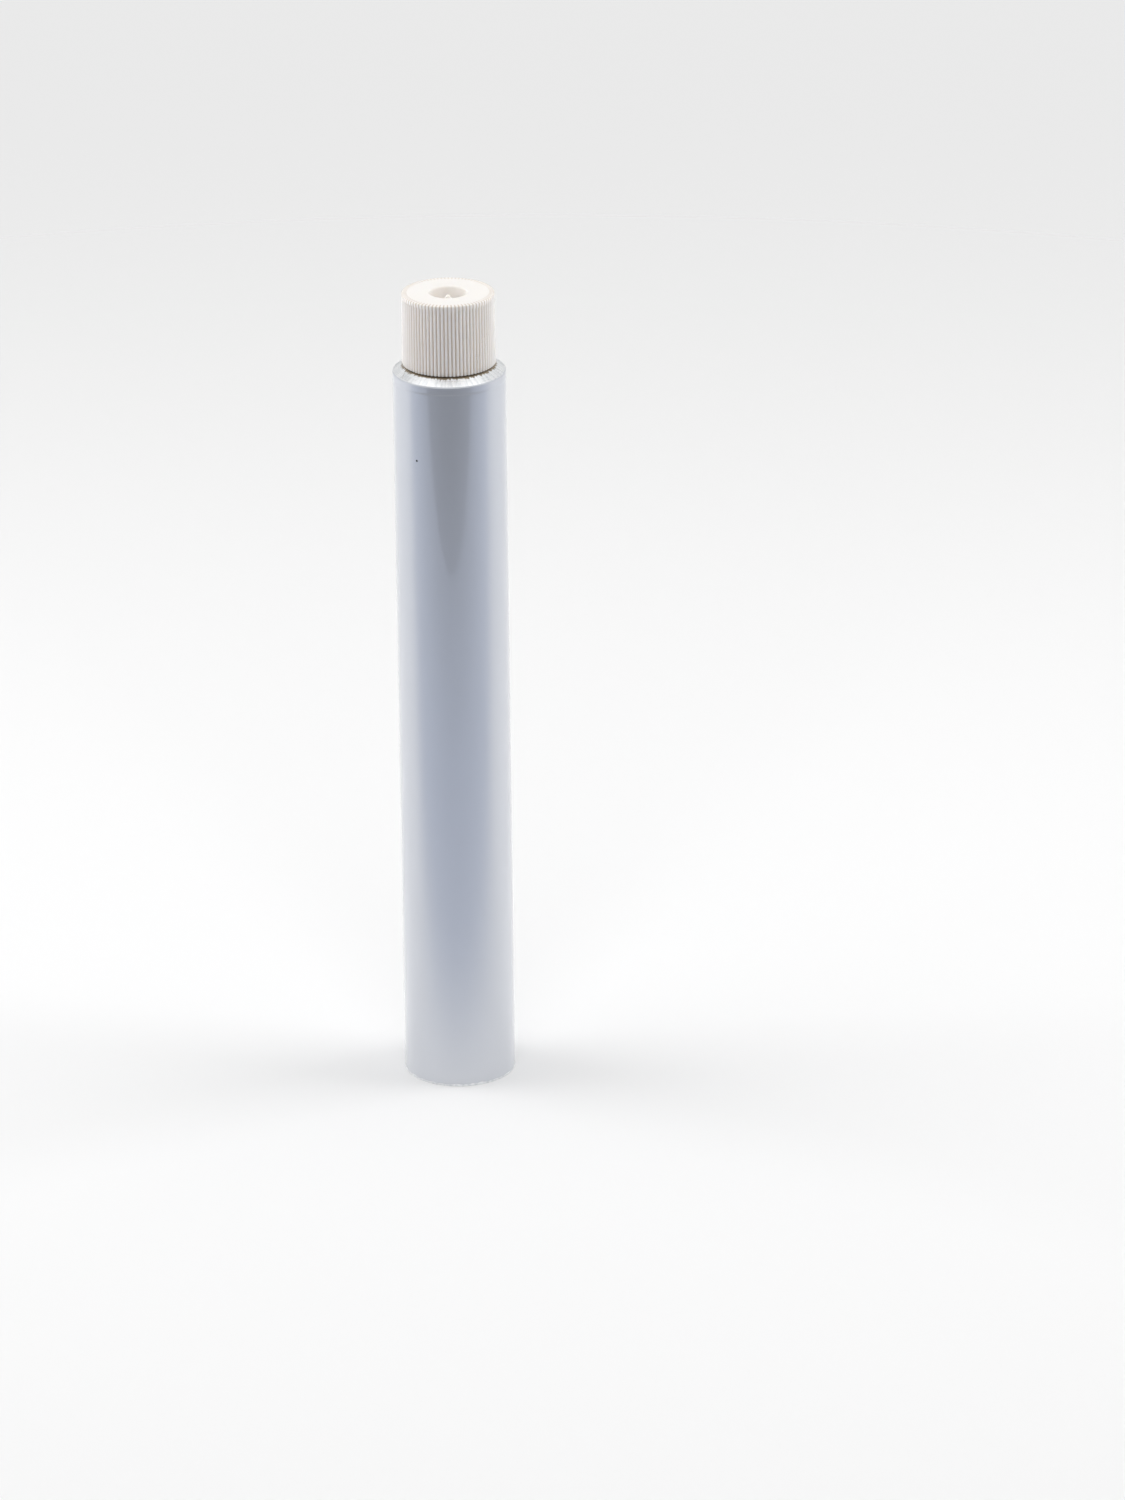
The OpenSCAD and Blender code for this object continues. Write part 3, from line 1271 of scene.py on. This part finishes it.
    def spike(self) -> bpy.types.Object:
        """Makes the flat pointed blade, with its edges eased.

        Returns:
            The blade, as an object of its own.
        """
        tip = self.top_z - self.tip_drop
        root = self.top_z - self.recess_depth - 0.4
        half, point = self.spike_w / 2, tip - self.point_h
        blunt = self.tip_w / 2
        outline = [(-half, root), (half, root), (half, point), (blunt, tip), (-blunt, tip), (-half, point)]
        mesh = bmesh.new()
        sides = []
        for y in (-self.spike_t / 2, self.spike_t / 2):
            sides.append([mesh.verts.new((x * MM, y * MM, z * MM)) for x, z in outline])
        mesh.faces.new(sides[0])
        mesh.faces.new(sides[1][::-1])
        for i in range(len(outline)):
            j = (i + 1) % len(outline)
            mesh.faces.new([sides[0][i], sides[1][i], sides[1][j], sides[0][j]])
        bmesh.ops.recalc_face_normals(mesh, faces=mesh.faces)
        bmesh.ops.bevel(mesh, geom=list(mesh.edges), offset=self.spike_edge * MM, segments=3, profile=0.5,
                        affect="EDGES", clamp_overlap=True)
        data = bpy.data.meshes.new("spike")
        mesh.to_mesh(data)
        mesh.free()
        for face in data.polygons:
            face.use_smooth = True
        blade = bpy.data.objects.new("spike", data)
        bpy.context.scene.collection.objects.link(blade)
        return blade

    def build(self) -> bpy.types.Object:
        """Makes the cap in one piece with its spike, and dresses it.

        Returns:
            The finished piece, riding on its body.
        """
        piece = TurnedSkin(self.side() + self.top() + self.underside()).build("screw_cap")
        blade = self.spike()
        union = piece.modifiers.new("spike", "BOOLEAN")
        union.operation = "UNION"
        union.solver = "EXACT"
        union.object = blade
        bpy.context.view_layer.update()
        whole = bpy.data.meshes.new_from_object(piece.evaluated_get(bpy.context.evaluated_depsgraph_get()))
        piece.modifiers.clear()
        piece.data = whole
        bpy.data.objects.remove(blade)
        whole.name = "screw_cap"
        whole.set_sharp_from_angle(angle=TurnedSkin.SHARP)
        whole.materials.clear()
        wall_r = self.foot_r - self.rib_depth - self.skirt_t
        for finish in (CapPlastic, CapInsidePaintedShade, CapRecessPaintedLight):
            whole.materials.append(finish(self.ribs, wall_r).material())
        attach(piece, "cap")
        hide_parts("cap")
        return piece


@dataclass
class PhotoCamera:
    """The camera, solved from the tube's edges in the photograph.

    Attributes:
        focal: Focal length in pixels of the 1125 by 1500 frame.
        long_side: The frame's longer side, in pixels.
        sensor: The sensor's longer side, in millimetres.
        pitch: Angle below level, in degrees.
        roll: Turn about the line of sight, in degrees.
        offset: The tube's foot from the camera: right, down and forward, in millimetres.
    """

    focal: float = 7464.0
    long_side: float = 1500.0
    sensor: float = 36.0
    pitch: float = 22.083
    roll: float = -0.602
    offset: tuple[float, float, float] = (-28.711, 85.139, 2034.55)

    def build(self) -> bpy.types.Object:
        """Makes the camera and sets it as the scene's.

        Returns:
            The camera.
        """
        tilt, roll = math.radians(self.pitch), math.radians(self.roll)
        ahead = Vector((0, math.cos(tilt), -math.sin(tilt)))
        up = Vector((0, math.sin(tilt), math.cos(tilt)))
        right = Vector((1, 0, 0))
        across, down, forward = self.offset
        place = (-across * right + down * up - forward * ahead) * MM
        turned_right = math.cos(roll) * right + math.sin(roll) * up
        turned_up = math.cos(roll) * up - math.sin(roll) * right
        axes = Matrix((turned_right, turned_up, -ahead)).transposed()
        data = bpy.data.cameras.new("camera")
        data.lens = self.focal * self.sensor / self.long_side
        data.sensor_width = self.sensor
        data.clip_start, data.clip_end = 0.05, 50.0
        camera = bpy.data.objects.new("camera", data)
        camera.matrix_world = Matrix.Translation(place) @ axes.to_4x4()
        bpy.context.scene.collection.objects.link(camera)
        bpy.context.scene.camera = camera
        return camera


@dataclass
class SoftBox:
    """A large soft lamp, in metres.

    Attributes:
        name: The lamp's name.
        place: Its centre.
        aim: The point that it faces.
        wide: Its width.
        high: Its height.
        level: Brightness of its face, where 1 is white.
        in_gloss: Whether gloss and metal show the lamp as well as the room.
    """

    name: str
    place: tuple[float, float, float]
    aim: tuple[float, float, float]
    wide: float
    high: float
    level: float
    in_gloss: bool = False

    def build(self) -> bpy.types.Object:
        """Makes the lamp.

        Returns:
            The lamp, linked to the scene.
        """
        data = bpy.data.lights.new(self.name, "AREA")
        data.shape = "RECTANGLE"
        data.size, data.size_y = self.wide, self.high
        data.energy = self.level * math.pi * self.wide * self.high
        lamp = bpy.data.objects.new(self.name, data)
        facing = (Vector(self.aim) - Vector(self.place)).to_track_quat("-Z", "Y")
        lamp.matrix_world = Matrix.Translation(self.place) @ facing.to_matrix().to_4x4()
        lamp.visible_camera = False
        lamp.visible_glossy = self.in_gloss
        bpy.context.scene.collection.objects.link(lamp)
        return lamp


@dataclass
class Studio:
    """White paper under the tube, soft lamps round it, a dark card in front and a pale room, in metres.

    Attributes:
        reach: Half the paper's width.
        white: Colour of the paper.
        hole: Radius of the hole in the paper under the tube, which lets light into the open end.
        fade_from: Distance from the tube at which the paper starts to fade into the room.
        fade_to: Distance at which it has faded.
        ambient: Brightness of the room's light, where 1 is white.
        below: Brightness of the light that comes up through the hole.
        backdrop: Brightness of the room in the picture and in reflections.
        tent_half: Distance from the tube to the lamps at its sides.
        card_near: Distance in front of the tube at which the grey card is full.
        card_front: Distance to the dark card's near edge.
        card_grey: The grey card's colour, cool as the light in the photograph is.
        card_dark: The dark card's colour.
        side_from: Distance to the side at which the paper starts to dim, as gloss and lights see it.
        side_to: Distance at which it has dimmed.
        side_grey: Its colour there.
    """

    reach: float = 6.0
    white: tuple[float, ...] = (0.930, 0.930, 0.930, 1.0)
    hole: float = 0.0146
    fade_from: float = 0.15
    fade_to: float = 1.05
    ambient: float = 0.28
    below: float = 0.9
    backdrop: float = 0.82
    tent_half: float = 1.1
    card_near: float = 0.127
    card_front: float = 0.405
    card_grey: tuple[float, ...] = (0.490, 0.545, 0.670, 1.0)
    card_dark: tuple[float, ...] = (0.040, 0.042, 0.048, 1.0)
    side_from: float = 0.22
    side_to: float = 0.50
    side_grey: tuple[float, ...] = (0.840, 0.850, 0.865, 1.0)

    def shown(self, graph: Graph) -> bpy.types.NodeSocket:
        """Finds the rays that show a thing in the picture, in gloss or through glass.

        Args:
            graph: The material's graph.

        Returns:
            The mask.
        """
        rays = graph.add("LightPath").outputs
        gloss = graph.maths("MAXIMUM", rays["Is Glossy Ray"], rays["Is Transmission Ray"])
        return graph.maths("MAXIMUM", rays["Is Camera Ray"], gloss)

    def plane(self, name: str, half: float, near: float, far: float, height: float) -> bpy.types.Object:
        """Makes a level sheet and stages it.

        Args:
            name: The sheet's name.
            half: Half its width.
            near: Y of its near edge.
            far: Y of its far edge.
            height: Its height.

        Returns:
            The sheet, with an empty material.
        """
        mesh = bpy.data.meshes.new(name)
        corners = [(x, y, height) for x, y in ((-half, near), (half, near), (half, far), (-half, far))]
        mesh.from_pydata(corners, [], [(0, 1, 2, 3)])
        piece = bpy.data.objects.new(name, mesh)
        bpy.context.scene.collection.objects.link(piece)
        material = bpy.data.materials.new(name)
        material.use_nodes = True
        material.node_tree.nodes.clear()
        mesh.materials.append(material)
        return piece

    def paper(self) -> bpy.types.Object:
        """Lays the paper, which fades into the room and is clear from below, to look into the open end.

        In front of the tube lie a grey card and a dark one, and the paper dims a little at its sides. Gloss
        and the lamps' light meet them, and the picture doesn't show them.

        Returns:
            The paper.
        """
        piece = self.plane("paper", self.reach, -self.reach, self.reach, 0.0)
        graph = Graph(piece.data.materials[0].node_tree)
        camera = graph.add("LightPath").outputs["Is Camera Ray"]
        point = graph.add("TexCoord").outputs["Object"]
        across, depth = graph.add("SeparateXYZ", {0: point}).outputs[:2]
        unseen = graph.maths("SUBTRACT", 1.0, camera)
        outward = graph.maths("ABSOLUTE", across)
        aside = graph.maths("MULTIPLY", graph.spread(outward, self.side_from, self.side_to, 0.0, 1.0), unseen)
        grey = graph.maths("MULTIPLY", graph.spread(depth, -self.card_near, 0.0, 1.0, 0.0), unseen)
        dark = graph.maths("MULTIPLY", graph.maths("LESS_THAN", depth, -self.card_front), unseen)
        sheet = graph.blend(grey, graph.blend(aside, self.white, self.side_grey), self.card_grey)
        colour = graph.blend(dark, sheet, self.card_dark)
        front = graph.add("BsdfDiffuse", {"Color": colour})
        back = graph.add("BsdfTransparent")
        behind = graph.add("NewGeometry").outputs["Backfacing"]
        away = graph.add("VectorMath", {0: point}, operation="LENGTH").outputs["Value"]
        faded = graph.maths("MULTIPLY", graph.spread(away, self.fade_from, self.fade_to, 0.0, 1.0), camera)
        under = graph.maths("LESS_THAN", away, self.hole)
        clear = graph.maths("MAXIMUM", graph.maths("MAXIMUM", behind, faded), under)
        both = graph.add("MixShader", {0: clear, 1: front.outputs[0], 2: back.outputs[0]})
        graph.add("OutputMaterial", {"Surface": both.outputs[0]})
        return piece

    def lamps(self) -> list[SoftBox]:
        """Lists the softboxes of a tent that is open towards the camera.

        Returns:
            The softboxes.
        """
        wall, mid = self.tent_half, 0.58
        return [
            SoftBox("overhead", (0.0, 0.05, 1.3), (0.0, 0.05, 0.0), 2.1, 0.7, 0.8),
            SoftBox("overhead_gloss", (0.0, 0.05, 1.29), (0.0, 0.05, 0.0), 2.1, 0.7, 0.5, True),
            SoftBox("front", (0.0, -1.7, 1.0), (0.0, 0.0, 0.1), 1.4, 0.9, 2.35),
            SoftBox("left", (-wall, 0.28, mid), (0.0, 0.28, mid), 0.9, 1.1, 2.6),
            SoftBox("right", (wall, 0.15, mid), (0.0, 0.15, mid), 0.9, 1.1, 2.4),
            SoftBox("left_back", (-wall, 1.1, mid), (0.0, 1.1, mid), 0.8, 1.1, 0.7),
            SoftBox("right_back", (wall, 1.1, mid), (0.0, 1.1, mid), 0.8, 1.1, 0.5),
            SoftBox("left_front", (-wall, -0.55, mid), (0.0, -0.55, mid), 0.7, 1.1, 0.5),
            SoftBox("back", (0.0, 1.9, mid), (0.0, 0.0, mid), 3.0, 1.1, 0.3),
            SoftBox("back_upper", (0.0, 1.5, 1.6), (0.0, 0.0, 0.2), 3.6, 1.4, 0.35),
        ]

    def world(self) -> None:
        """Sets a dim room that shows pale in the picture and in reflections."""
        world = bpy.data.worlds.new("room")
        bpy.context.scene.world = world
        world.use_nodes = True
        world.node_tree.nodes.clear()
        graph = Graph(world.node_tree)
        height = graph.add("SeparateXYZ", {0: graph.add("TexCoord").outputs["Generated"]}).outputs[2]
        lower = graph.maths("LESS_THAN", height, 0.0)
        lit = graph.maths("MULTIPLY_ADD", lower, self.below - self.ambient, self.ambient)
        extra = graph.maths("MULTIPLY", self.shown(graph), graph.maths("SUBTRACT", self.backdrop, lit))
        strength = graph.maths("ADD", extra, lit)
        light = graph.add("Background", {"Color": (1.0, 1.0, 1.0, 1.0), "Strength": strength})
        graph.add("OutputWorld", {"Surface": light.outputs[0]})

    def build(self) -> None:
        """Makes paper, lamps and world."""
        self.paper()
        for lamp in self.lamps():
            lamp.build()
        self.world()


def main() -> None:
    """Builds the tube, its seal, its cap and the studio."""
    logging.basicConfig(level=logging.INFO)
    bpy.context.scene.view_settings.view_transform = "Standard"
    PhotoCamera().build()
    Studio().build()

    tube_low, tube_high = (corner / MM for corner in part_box("tube"))
    cap_low, cap_high = (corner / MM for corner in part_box("cap"))
    seal_low, seal_high = (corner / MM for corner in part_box("end_seal"))
    body_r = min(tube_high.x, -tube_low.x, tube_high.y)
    neck_z = tube_high.z
    thread = NeckThread(crest_r=NECK_R, low=neck_z - THREAD_FOOT, high=neck_z - THREAD_HEAD)
    pieces = (
        TubeShell(body_r, mount_radius("mouth"), RIM_Z, neck_z, thread, SHOULDER_SLOPE),
        SealBand(seal_high.x, seal_high.x - SEAL_T, seal_low.z, seal_high.z),
        ScrewCap(cap_high.x, cap_low.z, cap_high.z, SHOULDER_SLOPE, neck_z, thread),
    )
    for maker in pieces:
        piece = maker.build()
        piece.data.calc_loop_triangles()
        LOG.info("%s: %d triangles", piece.name, len(piece.data.loop_triangles))


if __name__ == "__main__":
    main()
